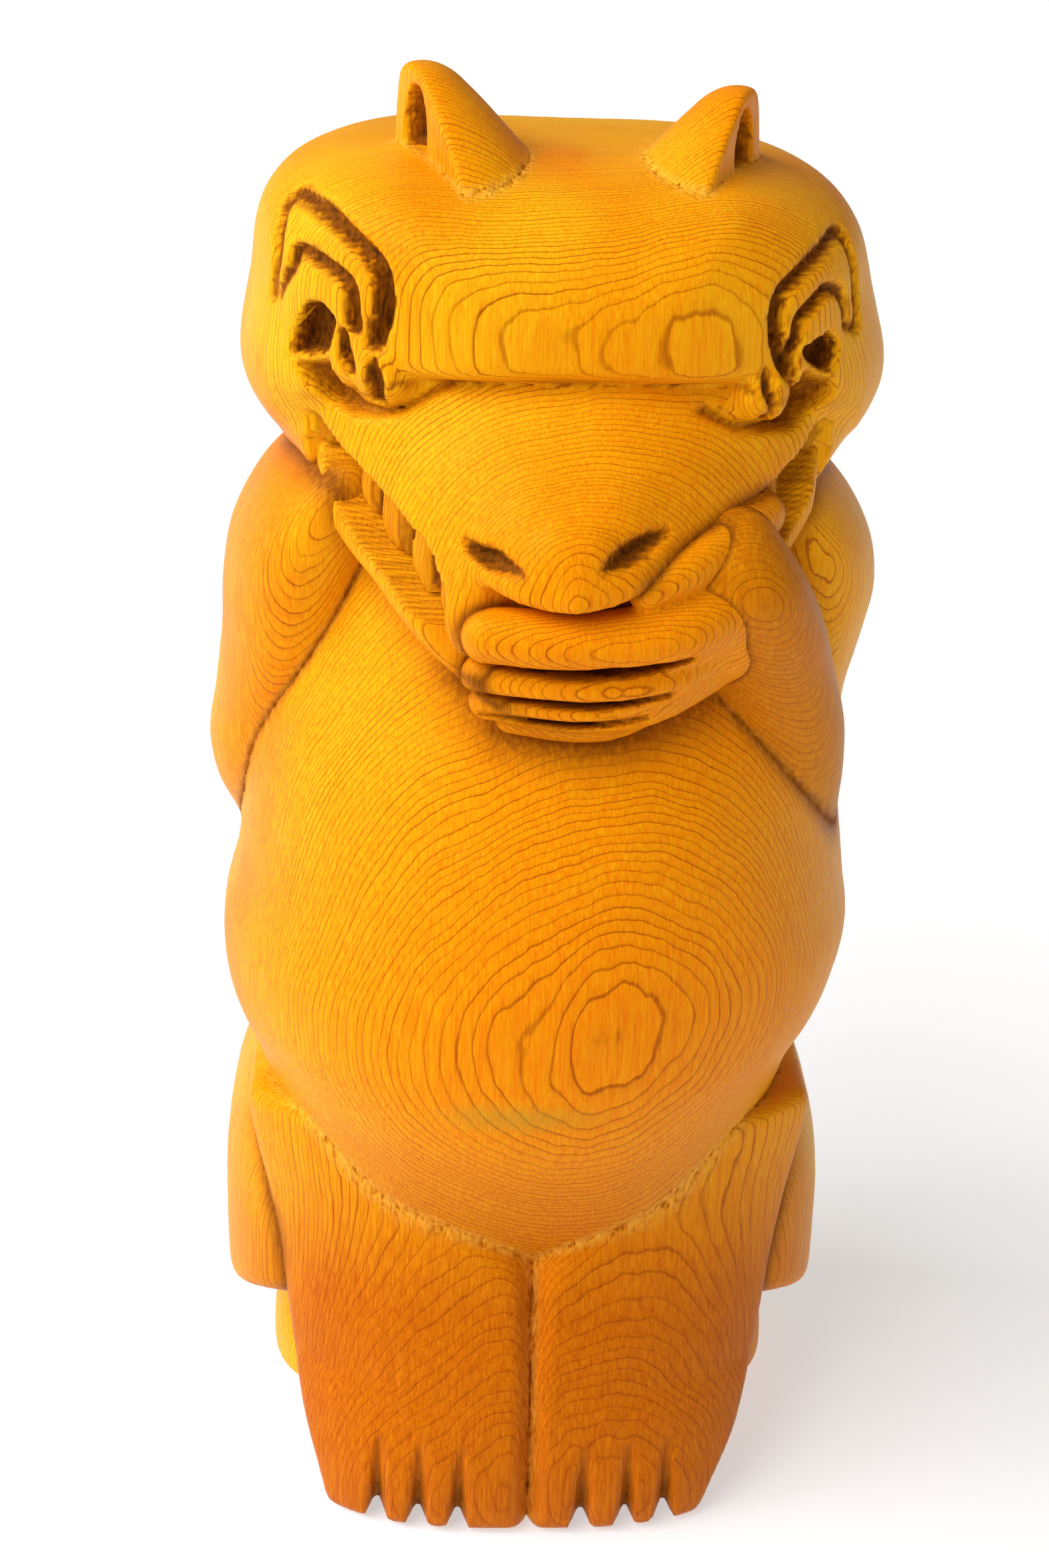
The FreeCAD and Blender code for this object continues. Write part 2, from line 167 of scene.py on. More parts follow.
def thigh_crease(x):
    """The height of the crease between belly and thigh, on the belly's surface."""
    return smooth_path(np.abs(x), (
        (0, 41.5),
        (9, 48.6),
        (16.6, 54.4),
        (22, 58.6),
        (28, 62.5),
        (33, 62.5),
        (38, 59.5),
        (50, 56),
    ))[0]


def leg_form(x, y, z, side):
    """Shin and foot: a squarish post, cut off by the belly at the top, with a heel behind."""
    outer = smooth_path(z, (
        (-3, 28.3),
        (5, 30.0),
        (11, 31.6),
        (25, 34.0),
        (34, 35.2),
        (45, 37.1),
        (56, 39.4),
        (72, 40.4),
    ))[0]
    if side == R:
        outer = outer + 0.4
    else:
        outer = outer - 0.6 - 1.2 * np.clip(1 - z / 25, 0, 1) - 1.6 * np.clip(1 - z / 12, 0, 1)
    middle = (outer - 1.3) / 2
    half = (outer + 1.3) / 2
    shin = column(side * x - middle, y, z, (
        (-3, 0, 1, -41.8, 10),
        (5, 0, 1, -42.2, 10),
        (11, 0, 1, -42.4, 10),
        (25, 0, 1, -40.4, 10),
        (34, 0, 1, -38, 10),
        (45, 0, 1, -36.2, 10),
        (56, 0, 1, -35.5, 10),
        (72, 0, 1, -35.5, 10),
    ), power=5.0, half_x=half)
    both_legs = column(x, y, z, (
        (-3, -0.4, 36.4, -39.4, 28),
        (3, -0.4, 37.2, -40.3, 28),
        (10, -0.4, 38, -40.4, 28),
        (18, -0.3, 39.4, -39.4, 28),
        (27, -0.2, 40.4, -37.7, 28),
        (36, 0, 41.4, -35.8, 28),
        (46, 0, 43, -34.4, 28),
        (58, 0, 45, -34, 28),
        (72, 0, 46, -34, 28),
    ), power=np.interp(z, (0, 22), (3.0, 2.25)).astype(np.float32))
    slope = (z - thigh_crease(x) - 0.9 * (y + 32)) * 0.6
    top = soft_common(slope, z - 62 + 0 * x, 2)
    heel = egg(x, y, z, (side * 26.5, 11, 3), (12, 17, 11), power=2.6)
    leg = soft_common(soft_common(shin, both_legs, 1.0), top, 2.5)
    return soft_union(leg, heel, 4)


def upper_arm_form(x, y, z, side):
    stations = {
        R: (
            (91, -39, 1, 3, 7),
            (94, -39.2, 2.6, 0, 10),
            (98, -38.8, 4.9, -4, 12.5),
            (102, -38.2, 6.9, -8, 14),
            (107, -37.4, 8.5, -11, 16),
            (115, -35.4, 9.5, -14.5, 19),
            (125, -33.4, 10.4, -18.5, 21.5),
            (133, -32.2, 11.2, -21, 22.5),
            (141, -30.5, 11.2, -23, 21.5),
            (148, -27.5, 10, -24, 19),
            (154, -25, 6, -23, 13),
        ),
        L: (
            (92, 37, 2, -4, 6),
            (100, 35.9, 5.3, -8, 12),
            (110, 34.9, 7.2, -12, 16),
            (120, 34.2, 8.8, -16, 19.5),
            (128, 34.2, 10.5, -18.5, 21.5),
            (134, 34.2, 11.4, -20, 22),
            (141, 33, 11, -21.5, 21),
            (148, 29.6, 9.6, -22, 19),
            (154, 27, 5, -21, 13),
        ),
    }
    arm = column(x, y, z, stations[side], power=2.2)
    return soft_common(arm, np.abs(z - 123) - 31, 2)


def left_forearm_form(x, y, z):
    arm = column(x, y, z, (
        (92, 37, 2.5, -13.5, -8),
        (96, 35.8, 4.2, -17, -6),
        (104, 34.3, 6.6, -21.5, -6),
        (112, 32.6, 8.2, -25.5, -8),
        (120, 30.8, 9, -29, -11),
        (128, 28, 9.6, -33, -14),
        (136, 25.2, 10, -37.5, -18),
        (143, 22.4, 9.6, -40.0, -22),
        (149, 21.5, 6.5, -37.5, -26),
        (153, 22, 3, -34, -29),
    ), power=2.1)
    return soft_common(arm, np.abs(z - 122) - 30.5, 2)


def left_forearm_piece(x, y, z):
    """The forearm, darkened all over: its wood is deeper in colour than the chest's, and painted shade
    stands for the head's shadow on it.
    """
    field = left_forearm_form(x, y, z)
    # Deeper wood colour and painted shade from the head, over the whole forearm.
    deep_wood_and_shade_level = 0.33
    return field, deep_wood_and_shade_level + 0 * field


def right_forearm_form(x, y, z):
    arm = limb(x, y, z, (
        (-37, 12, 99, 8),
        (-27, 28, 98.5, 8.6),
        (-12, 35.5, 100.5, 8),
        (2, 36.2, 103, 8),
    ))
    paw = egg(x, y, z, (7, 36, 104), (10, 8, 9.5), power=2.4)
    return soft_union(arm, paw, 5)


def lean(x, z):
    """The head leans a little towards its right."""
    return x + 0.06 * np.maximum(z - 166, 0) + 0.02 * np.minimum(z - 166, 0)


def temple(x, y):
    """0 in the middle of the face, 1 at the temples and behind them."""
    return np.clip(np.maximum((np.abs(x - 2) - 22) / 16, (y + 16) / 12), 0, 1)


def skull_form(x, y, z):
    """The brow roll and crown. The roll is undercut in front only."""
    below = 4.6 + 11 * temple(x, y)
    z = z + 0.015 * (x - 2) * np.clip((z - 172) / 12, 0, 1)
    centre = (2.0, -0.5, 170)
    sides = {"below": below, "front": 32.5}
    block = egg(lean(x, z), y, z, centre, (40.2, 33, 22.4), power=3.5, plan_power=2.3, **sides)
    roll = egg(x, y, z, centre, (400, 33, 22.4), power=2.6, **sides)
    return soft_common(block, roll, 1)


def cheek_form(x, y, z):
    """The lower half of the skull, down to the neck."""
    centre, radii = (1.8, 2.5, 163), (39.8, 29.5, 20)
    return egg(lean(x, z), y, z, centre, radii, power=2.2, plan_power=2.3, below=26)


# The snout from its tip backwards: (y, half width, top z, bottom z)
SNOUT = (
    (-52, 1, 140, 139),
    (-46, 5, 146, 134),
    (-44.6, 10, 149.5, 128),
    (-42, 13.6, 153.5, 124.5),
    (-38, 17.2, 158, 124.5),
    (-34, 20.8, 162.5, 127),
    (-29, 24.8, 167, 131),
    (-24, 29, 170, 135),
    (-20, 32, 171, 139.5),
    (-15, 35.3, 172, 145),
    (-9, 38, 173, 149),
    (0, 40.5, 173, 152),
)


def snout_form(x, y, z, swell=0.0, drop=0.0, edge=5):
    """Muzzle and jaw together: a wedge that narrows and dips towards the nose."""
    half, top, bottom = smooth_path(y, SNOUT)
    half = np.maximum(half, 0.5)
    across = np.abs(x - 2.2)
    share = np.minimum(across / half, 1.3)
    wall = (across - half - swell) * 0.78
    roof = (z - top + 9 * share**2.4) * 0.86
    floor = (bottom - drop - z + 11 * share**2) * 0.8
    wedge = soft_common(soft_common(wall, roof, 9), floor, edge)
    return soft_common(wedge, y - 2, 6)


def nose_form(x, y, z):
    """The muzzle ends in a nose that overhangs the paw."""
    ledge = 142.8 + 3 * ((x - 1) / 12) ** 2 - z
    behind = -38.4 - 2.2 * np.clip((-5.0 - x) / 4, 0, 1) - y
    snout = soft_common(snout_form(x, y, z), soft_union(ledge, behind, 1.5), 2.2)
    knob = egg(x, y, z, (2.2, -41.6, 147.4), (5.0, 3.2, 5.2), power=2.6)
    return soft_union(snout, knob, 1.6)


def head_form(x, y, z):
    """Skull, cheeks and snout. The crease under the brow is crisp in front and fades at the temples."""
    face = soft_union(cheek_form(x, y, z), nose_form(x, y, z), 8)
    return soft_union(skull_form(x, y, z), face, 1.0 + 7 * temple(x, y))


def slit_height(y):
    """The height of the mouth's slit at each depth: it dips towards the nose."""
    return smooth_path(y, (
        (-47, 131.5),
        (-43, 132),
        (-40, 134.6),
        (-37, 137.6),
        (-33.8, 140.9),
        (-27.2, 146.2),
        (-21.7, 152.6),
        (-17, 158.6),
        (-8, 168),
    ))[0]


def jaw_form(x, y, z):
    """The lower jaw, with a flat lip band along the mouth and a crisp lower edge.

    It sinks into the cheeks at the back, and its chin lies behind the paw.
    """
    swell = 0.9 - 2.6 * np.clip((y + 22) / 5, 0, 1)
    jaw = snout_form(x, y, z, swell=swell, drop=1.2, edge=1.6)
    return soft_common(jaw, -36.6 - y, 2)


# The ears sit a little to the bear's left, and its right ear is the higher one.
EAR_SHIFT = 2.8
EAR_LIFT = {R: 1.3, L: -1.0}
EAR_TURN = math.radians(28)


def ear_axes(x, y, side):
    """Places square to an ear's flat outer face, and along it."""
    dx, dy = side * (x - EAR_SHIFT), y + 20
    outward = dx * math.cos(EAR_TURN) - dy * math.sin(EAR_TURN)
    along_face = dx * math.sin(EAR_TURN) + dy * math.cos(EAR_TURN)
    return outward, along_face


def ear_form(x, y, z, side):
    """A leaning cone with a flat outer face."""
    lift = EAR_LIFT[side]
    up = np.clip((z - 183 - lift) / 17, 0, 1.2)
    middle_x = side * (12.5 + 6.8 * up) + EAR_SHIFT
    middle_y = -14 + 4 * up
    radius = 11 - 7.6 * up**1.7
    cone = np.sqrt((x - middle_x) ** 2 + (y - middle_y) ** 2) - radius
    cone = soft_common(cone * 0.85, z - 201 - lift, 2)
    outward, _ = ear_axes(x, y, side)
    return soft_common(cone, outward - 14.6, 0.5)


# Each finger from its tip to the palm, top finger first: its nodes (x, y, z, radius), and its fillet
FINGERS = (
    ((
        (-8.0, -40.2, 138.0, 3.7),
        (-1, -41.1, 137.6, 3.9),
        (8, -41.0, 137.6, 4.1),
        (16, -38.8, 138.6, 4.6),
        (22, -34, 141, 5),
    ), 2.5),
    ((
        (-8.6, -37.4, 131.6, 2.9),
        (3, -39.4, 131.2, 3.2),
        (13, -38.2, 131.8, 3.4),
        (20, -33.5, 134.5, 4),
    ), 1.0),
    ((
        (-8.0, -35.8, 127.4, 2.4),
        (3, -37.9, 127.1, 2.7),
        (12, -36.6, 127.7, 3.0),
        (19, -32, 131, 4),
    ), 1.0),
    ((
        (-5.0, -34.6, 124.6, 2.0),
        (3, -35.8, 124.3, 2.3),
        (9, -34.8, 125.0, 2.6),
        (16, -30, 129, 4),
    ), 1.0),
)
THUMB = (
    (11.2, -40.6, 144.2, 2.5),
    (16, -38.0, 146, 3.2),
    (22, -32.6, 148.6, 3.5),
    (26, -28, 150, 3.3),
)


def paw_form(x, y, z):
    """The left paw across the mouth: palm, four fingers and a thumb."""
    palm = egg(x, y, z, (20, -28.5, 137.5), (9.5, 9.5, 9.5), power=2.2)
    knuckles = egg(x, y, z, (4, -28, 131), (16, 10, 8), power=2.4)
    hand = soft_union(palm, knuckles, 3)
    for finger, fillet in FINGERS:
        hand = soft_union(hand, limb(x, y, z, finger), fillet)
    return soft_union(hand, limb(x, y, z, THUMB), 0.8)


# ---------------------------------------------------------------- carved lines

def along(points, count):
    """A smooth run of count points through the given ones."""
    table = [(k, *point) for k, point in enumerate(points)]
    return np.stack(smooth_path(np.linspace(0, len(points) - 1, count), table), axis=1)


def stroke(u, v, points):
    """How deep a tapering V cut goes at each place. points: (u, v, half width, depth)."""
    points = along(points, 4 * len(points) - 3)
    cut = np.zeros(np.broadcast_shapes(u.shape, v.shape), np.float32)
    for a, b in zip(points, points[1:]):
        du, dv = b[0] - a[0], b[1] - a[1]
        t = np.clip(((u - a[0]) * du + (v - a[1]) * dv) / (du * du + dv * dv + 1e-6), 0, 1)
        far = np.sqrt((u - a[0] - t * du) ** 2 + (v - a[1] - t * dv) ** 2)
        width = a[2] + (b[2] - a[2]) * t
        depth = a[3] + (b[3] - a[3]) * t
        cut = np.maximum(cut, depth * np.clip(1.2 - far / width, 0, 1))
    return cut


def hollow(u, v, corners, depth, ramp):
    """How deep a hollow goes inside a closed outline. Its walls are ramp wide."""
    shape = np.broadcast_shapes(u.shape, v.shape)
    inside = np.zeros(shape, bool)
    nearest = np.full(shape, 99, np.float32)
    for a, b in zip(corners, corners[1:] + corners[:1]):
        du, dv = b[0] - a[0], b[1] - a[1]
        t = np.clip(((u - a[0]) * du + (v - a[1]) * dv) / (du * du + dv * dv), 0, 1)
        far = np.sqrt((u - a[0] - t * du) ** 2 + (v - a[1] - t * dv) ** 2)
        nearest = np.minimum(nearest, far)
        inside ^= ((a[1] > v) != (b[1] > v)) & (u < du * (v - a[1]) / (dv + 1e-9) + a[0])
    return depth * np.clip(np.where(inside, nearest, 0) / ramp, 0, 1)


def part_of(x, y, z, low, high):
    """The samples inside a box: their index ranges and their places."""
    cells = []
    for axis, a, b in zip((x, y, z), low, high):
        first, last = np.searchsorted(axis.ravel(), (a, b))
        cells.append(slice(int(first), int(last)))
    i, j, k = cells
    return (i, j, k), x[i], y[:, j], z[:, :, k]


def sink(clay_field, cells, cut, dark):
    """Cut into the field, and darken the cut with its old stain and with painted shade in the recess."""
    field, stain_and_shade = clay_field
    field[cells] += cut
    stain_and_shade[cells] = np.maximum(stain_and_shade[cells], np.clip(cut * dark, 0, 1))


# What is carved round each eye, on a chart of the face: u runs across the face and v up it, in mm.
# origin: the chart's place (x, y). lines: V cuts (u, v, half width, depth). pit and trench: outlines
# of hollows. holes: (u, v, radius, depth). ball: the eyeball's place (x, y, z).
EYE_TURN = math.radians(36)
EYE_LEVEL = 168
EYES = {
    R: {
        "origin": (-24, -26),
        "lines": (
            (
                (-15.1, 6.1, 0.8, 0.8),
                (-14.2, 12.3, 0.9, 1.0),
                (-14.6, 17.2, 0.9, 1.1),
                (-12.5, 18.5, 1.0, 1.2),
                (-6.2, 17.4, 1.1, 1.3),
                (-0.7, 15.0, 1.1, 1.5),
                (2.0, 13.3, 1.1, 1.7),
                (3.2, 11.3, 1.2, 2.1),
                (3.6, 8.0, 1.3, 2.5),
                (2.5, 3.6, 1.2, 2.4),
            ),
            (
                (-13.8, 6.4, 0.7, 0.8),
                (-10.8, 11.0, 0.9, 1.3),
                (-10.1, 12.9, 0.9, 1.3),
                (-7.0, 12.5, 1.0, 1.4),
                (-2.2, 10.8, 1.0, 1.5),
                (-0.9, 8.6, 1.0, 1.7),
                (-0.5, 4.9, 1.0, 1.8),
            ),
            ((-2.4, 4.2, 0.7, 1.2), (-2.0, 1.3, 1.0, 1.9), (-1.1, -0.6, 0.8, 1.4)),
            ((2.4, 1.4, 0.6, 1.0), (2.9, -1.2, 1.1, 1.9), (2.6, -3.4, 1.0, 1.4)),
        ),
        "pit": (
            (-8.4, 7.0), (-5.6, 7.3), (-3.2, 5.5), (-4.4, 1.7), (-5.8, 0.2), (-11.5, -0.7), (-10.4, 3.1),
        ),
        "trench": (
            (-11.0, -1.1), (-8.5, -4.2), (-5.6, -6.4), (-2.3, -7.4), (1.3, -7.1), (5.3, -5.8),
            (8.7, -3.3), (11.8, -1.2), (9.4, -0.6), (5.3, -3.8), (2.5, -5.0), (-1.1, -4.8),
            (-2.9, -3.3), (-4.2, -0.8), (-4.4, 1.7), (-5.8, 0.2),
        ),
        "holes": (),
        "ball": (-21.0, -25.2, 167.3),
    },
    L: {
        "origin": (28, -26),
        "lines": (
            (
                (11.7, 3.9, 0.7, 0.8),
                (13.9, 3.4, 0.8, 0.9),
                (14.0, 6.8, 0.9, 1.0),
                (13.7, 11.7, 0.9, 1.1),
                (11.9, 15.1, 1.0, 1.2),
                (5.2, 13.2, 1.1, 1.3),
                (1.0, 11.2, 1.1, 1.5),
                (-0.7, 10.0, 1.1, 1.7),
                (-1.7, 7.3, 1.2, 2.2),
                (-1.3, 4.1, 1.2, 2.4),
                (-0.5, 1.2, 1.0, 2.0),
            ),
            (
                (11.4, 4.0, 0.7, 0.9),
                (10.8, 6.8, 0.8, 1.2),
                (9.4, 8.8, 0.9, 1.3),
                (6.9, 9.4, 0.9, 1.4),
                (4.2, 7.9, 1.0, 1.5),
                (2.1, 6.5, 1.0, 1.6),
                (1.5, 4.2, 1.0, 1.8),
                (0.7, 1.8, 0.9, 1.8),
            ),
            ((-3.0, 0.6, 0.6, 0.8), (-2.9, -1.8, 0.9, 1.5), (-2.2, -4.2, 0.7, 1.1)),
            ((1.4, -0.8, 0.6, 0.9), (1.6, -2.8, 0.8, 1.3), (0.6, -4.8, 0.7, 1.0)),
        ),
        "pit": ((7.7, 4.2), (9.8, 2.3), (8.5, -1.6), (5.9, -0.7), (3.4, 0.9), (2.3, 2.6)),
        "trench": (
            (3.4, 0.5), (5.9, -1.0), (8.5, -1.9), (9.5, -4.0), (7.1, -5.9), (3.3, -8.4),
            (-1.7, -8.2), (-6.0, -7.7), (-9.1, -5.9), (-12.2, -4.0), (-9.0, -3.4), (-5.5, -5.6),
            (-2.0, -6.0), (1.5, -4.8), (2.2, -2.5),
        ),
        "holes": ((0.5, 0.2, 1.0, 2.4), (-2.7, -5.5, 0.7, 1.3)),
        "ball": (25.2, -25.0, 165.4),
    },
}

# The nostrils, as seen from the front: (x, z, half width, depth)
NOSTRILS = (
    (
        (-11.2, 149.6, 0.6, 0.7),
        (-9.4, 148.6, 1.2, 1.9),
        (-7.2, 148.1, 1.4, 2.6),
        (-4.6, 147.3, 0.8, 1.4),
    ),
    (
        (5.9, 148.4, 0.8, 1.4),
        (8.4, 149.5, 1.5, 2.8),
        (10.7, 150.4, 1.4, 2.3),
        (13.2, 151.3, 0.7, 1.0),
    ),
)

# The cuts between the fingers, as seen from the front: (x, z, half width, depth)
FINGER_CUTS = (
    (
        (-10, 134.6, 0.4, 0.5),
        (-6, 134.2, 0.8, 1.8),
        (2, 133.8, 1.0, 2.8),
        (10, 134.4, 1.0, 2.4),
        (17, 135.6, 0.6, 1.0),
    ),
    ((-11, 129.8, 0.4, 0.6), (-3, 129.2, 0.8, 1.5), (6, 129.0, 0.8, 1.7), (15, 130.4, 0.5, 0.8)),
    ((-9, 126.3, 0.4, 0.6), (-2, 125.9, 0.7, 1.3), (5, 125.8, 0.7, 1.4), (12, 126.8, 0.5, 0.7)),
)

# Where the teeth leave gaps along the mouth: (depth in y, half width)
TOOTH_GAPS = ((-21.2, 1.8), (-26.4, 0.5), (-30.6, 0.8), (-35.0, 0.7))


def lip_height(y):
    """The height of the upper lip's edge at each depth."""
    return smooth_path(y, (
        (-46, 140),
        (-40, 141),
        (-38, 143.9),
        (-36.2, 147),
        (-30.8, 151.6),
        (-25.5, 155.2),
        (-21, 159),
        (-17, 162.5),
    ))[0]


def carve_eye(clay_field, x, y, z, side):
    eye = EYES[side]
    reach = (-44, -2) if side == R else (5, 47)
    cells, bx, by, bz = part_of(x, y, z, (reach[0], -46, 155), (reach[1], -4, 190))
    turn = side * EYE_TURN
    u = (bx - eye["origin"][0]) * math.cos(turn) + (by - eye["origin"][1]) * math.sin(turn)
    v = bz - EYE_LEVEL
    # Every cut round the eye is darkened: old stain and painted shade in the recess.
    sink(clay_field, cells, hollow(u, v, eye["trench"], 2.2, 1.3), 0.32)
    for line in eye["lines"]:
        sink(clay_field, cells, stroke(u, v, line), 0.8)
    sink(clay_field, cells, hollow(u, v, eye["pit"], 3.4, 1.1), 0.55)
    for hu, hv, radius, depth in eye["holes"]:
        far = np.sqrt((u - hu) ** 2 + (v - hv) ** 2)
        sink(clay_field, cells, depth * np.clip(1.5 - far / radius, 0, 1), 0.6)


def carve_mouth(clay_field, x, y, z):
    """A recess between the lips on each side, with the teeth left standing in it."""
    cells, bx, by, bz = part_of(x, y, z, (-40, -41, 128), (44, -18, 165))
    below_lip = np.clip((lip_height(by) - bz) / 0.7, 0, 1)
    behind_nose = np.clip((by + 38.8) / 0.8, 0, 1)
    ahead_of_corner = np.clip((-18.8 - by) / 1.2, 0, 1)
    open_part = below_lip * behind_nose * ahead_of_corner
    gap = np.zeros_like(by)
    for middle, half in TOOTH_GAPS:
        gap = np.maximum(gap, np.clip(1.5 - np.abs(by - middle) / half, 0, 1))
    on_sides = np.clip((np.abs(bx - 2.2) - 8) / 3, 0, 1)
    depth = (open_part * (1.9 + 2.1 * gap) * on_sides).astype(np.float32)
    field, stain_and_shade = clay_field
    field[cells] += depth
    # Painted shade in the mouth's recess, darkest in the gaps between the teeth.
    stain_and_shade[cells] = np.maximum(stain_and_shade[cells], np.clip(open_part * (0.25 + 0.9 * gap) * on_sides, 0, 1))


def head_piece(x, y, z):
    """The head with its eyeballs, eyes, mouth and nostrils, down to the mouth's slit."""
    skull = skull_form(x, y, z)
    face = soft_union(cheek_form(x, y, z), nose_form(x, y, z), 8)
    field = soft_union(skull, face, 1.0 + 7 * temple(x, y)).astype(np.float32)
    # Painted shade in the crease under the brow, fading at the temples.
    crease = np.clip(1 - np.abs(skull - face) / 1.2, 0, 1) * (1 - temple(x, y))
    stain_and_shade = (0.6 * crease).astype(np.float32)
    clay_field = (field, stain_and_shade)
    for side in (L, R):
        cells, bx, by, bz = part_of(x, y, z, (-44, -46, 150), (47, -4, 182))
        cx, cy, cz = EYES[side]["ball"]
        ball = egg(bx, by, bz, (cx, cy, cz), (4.3, 4.3, 4.6))
        field[cells] = soft_union(field[cells], ball, 0.8)
        carve_eye(clay_field, x, y, z, side)
    carve_mouth(clay_field, x, y, z)
    cells, bx, by, bz = part_of(x, y, z, (-16, -48, 143), (18, -30, 156))
    for line in NOSTRILS:
        sink(clay_field, cells, stroke(bx, bz, line), 0.6)
    opening = np.minimum((slit_height(y) + 0.3 - z) * 0.8, -18.5 - y)
    return np.maximum(field, opening), stain_and_shade


def jaw_piece(x, y, z):
    """The lower jaw, up to the mouth's slit. It carries the cheeks on below the head."""
    cheek = cheek_form(x, y, z) + 1.4 * np.clip((y + 20) / 2.5, 0, 1)
    form = np.maximum(soft_union(jaw_form(x, y, z), cheek, 2.5), (z - slit_height(y) + 0.3) * 0.8)
    field = np.maximum(form, y - 6)
    # Painted shade along the top of the jaw, just under the mouth's slit.
    stain_and_shade = 0.45 * np.clip(1 - (slit_height(y) - z) / 0.8, 0, 1) + 0 * field
    return field, stain_and_shade


def paw_piece(x, y, z):
    """The paw with the cuts between its fingers."""
    field = paw_form(x, y, z).astype(np.float32)
    clay_field = (field, np.zeros_like(field))
    cells, bx, by, bz = part_of(x, y, z, (-14, -48, 120), (24, -28, 140))
    for line in FINGER_CUTS:
        sink(clay_field, cells, stroke(bx, bz, line), 0.7)
    return clay_field


# The middle of each cut between the toes
TOE_CUTS = {R: (-21.6, -15.7, -10.0), L: (7.7, 14.1, 19.7)}


def leg_piece(x, y, z, side):
    """A leg with the cuts between its toes."""
    field = soft_common(leg_form(x, y, z, side), -z + 0 * x + 0 * y, 1.6).astype(np.float32)
    clay_field = (field, np.zeros_like(field))
    cells, bx, by, bz = part_of(x, y, z, (-40, -48, -2), (40, -16, 18))
    for middle in TOE_CUTS[side]:
        line = (
            (middle + 0.3, 14.0, 0.5, 0.4),
            (middle + 0.1, 10.0, 0.8, 1.1),
            (middle, 5.0, 1.1, 2.0),
            (middle - 0.2, -1.5, 1.5, 3.0),
        )
        sink(clay_field, cells, stroke(bx, bz, line), 0.42)
    return clay_field


def ear_piece(x, y, z, side):
    """An ear with an oval hollow in its outer face."""
    field = ear_form(x, y, z, side).astype(np.float32)
    outward, along_face = ear_axes(x, y, side)
    oval = ((along_face - 16.3) / 2.9) ** 2 + ((z - 192.5 - EAR_LIFT[side]) / 6.2) ** 2
    cut = 3.0 * np.sqrt(np.clip(1 - oval, 0, 1))
    clay_field = (field, np.zeros_like(field))
    everywhere = (slice(None),) * 3
    near_face = outward > 9
    sink(clay_field, everywhere, cut * near_face, 0.45)
    return clay_field


# ---------------------------------------------------------------- meshing

def clay(low, high, step):
    """The sample points of a box, as three arrays that broadcast against each other."""
    axes = [np.arange(a, b + step, step, dtype=np.float32) for a, b in zip(low, high)]
    return np.meshgrid(*axes, indexing="ij", sparse=True)


def ripple(points, size, seed):
    """Smooth noise from -1 to 1, with lumps about size mm across."""
    table = np.random.default_rng(seed).uniform(-1, 1, (32, 32, 32))
    places = points / size
    base = np.floor(places).astype(int)
    t = places - base
    t = t * t * (3 - 2 * t)
    total = 0
    for corner in np.ndindex(2, 2, 2):
        share = np.prod(np.where(corner, t, 1 - t), axis=1)
        i, j, k = ((base + corner) % 32).T
        total = total + table[i, j, k] * share
    return total


def mesh_field(name, field, stain_and_shade, low, step, torn_by, painted_shade_by):
    """A closed mesh where the field is zero.

    torn_by and the list after it: (neighbour's form, width) pairs. Near a neighbour in torn_by the wood
    is torn, and near one in the other list it gets painted shade, as in a crease.
    """
    limit = step * 3
    edge = np.clip(np.pad(field, 1, constant_values=limit), -limit, limit)
    grid = openvdb.FloatGrid(limit)
    grid.copyFromArray(edge.astype(np.float32))
    points, quads = grid.convertToQuads(0.0)
    places = (points - 1.0) * step + np.array(low, np.float32)
    mesh = bpy.data.meshes.new(name)
    mesh.from_pydata((places * MM).tolist(), [], quads[:, ::-1].tolist())
    mesh.polygons.foreach_set("use_smooth", [True] * len(mesh.polygons))
    mesh.update()

    x, y, z = places.astype(np.float32).T
    torn = np.zeros(len(places), np.float32)
    for form, width in torn_by:
        nearness = np.clip(1 - np.abs(form(x, y, z)) / width, 0, 1)
        torn = np.maximum(torn, nearness)
    # Painted shade: the wood is darkened near each listed neighbour, as if shaded in the crease between
    # them.
    shade = np.zeros(len(places), np.float32)
    for form, width in painted_shade_by:
        nearness = np.clip(1 - np.abs(form(x, y, z)) / width, 0, 1)
        shade = np.maximum(shade, 0.8 * nearness ** 2)
    normals = np.empty(3 * len(places), np.float32)
    mesh.vertices.foreach_get("normal", normals)
    # Shallow knife facets all over, ragged fibres where torn, and a level foot
    bumps = 0.09 * ripple(places, 6.5, 3) + 0.03 * ripple(places, 2.2, 4)
    bumps = bumps + torn * (0.28 * ripple(places * (1, 1, 0.5), 0.9, 5) - 0.12)
    bumps = bumps * np.clip(z / 2, 0, 1)
    places = places + normals.reshape(-1, 3) * bumps[:, None]
    mesh.vertices.foreach_set("co", (places * MM).astype(np.float32).ravel())

    nearest = np.rint((np.stack((x, y, z), 1) - np.array(low)) / step).astype(int)
    nearest = np.clip(nearest, 0, np.array(field.shape) - 1)
    # One mark carries the stain and painted shade of the cuts and the painted shade near neighbours.
    marks = {"stain_and_shade": np.maximum(stain_and_shade[tuple(nearest.T)], shade), "torn": torn}
    for key, values in marks.items():
        layer = mesh.attributes.new(key, "FLOAT", "POINT")
        layer.data.foreach_set("value", values.astype(np.float32))
    mesh.update()
    piece = bpy.data.objects.new(name, mesh)
    bpy.context.scene.collection.objects.link(piece)
    return piece


